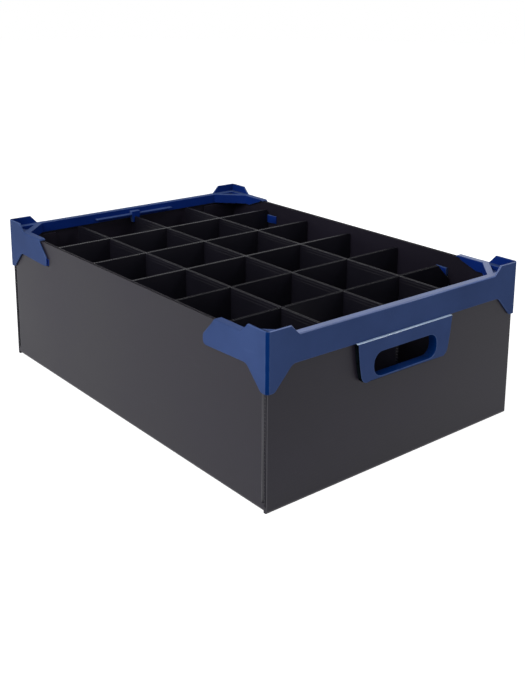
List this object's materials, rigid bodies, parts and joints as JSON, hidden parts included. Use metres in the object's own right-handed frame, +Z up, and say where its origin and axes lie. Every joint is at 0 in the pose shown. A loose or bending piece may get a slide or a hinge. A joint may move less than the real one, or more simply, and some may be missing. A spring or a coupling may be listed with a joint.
{
  "type": "glassware storage box",
  "caption": "Open stacking box of folded black twin-wall plastic with blue end frames, hand slots and a lattice of dividers for glasses.",
  "frame": {"origin": "centre of the footprint, on the surface the base stands on", "axes": "+X along the box towards one hand slot, +Y across it, +Z up"},
  "size_m": [0.5108, 0.3498, 0.1758],
  "materials": {
    "sheet": "matt twin-wall sheet",
    "moulding": "satin moulding",
    "divider": "matt twin-wall sheet"
  },
  "bodies": {
    "root": {"box_body": "sheet", "end_frame_right": "moulding", "end_frame_left": "moulding", "cross_divider_1": "divider", "cross_divider_2": "divider", "cross_divider_3": "divider", "cross_divider_4": "divider", "cross_divider_5": "divider", "long_divider_1": "divider", "long_divider_2": "divider", "long_divider_3": "divider"}
  },
  "joints": []
}
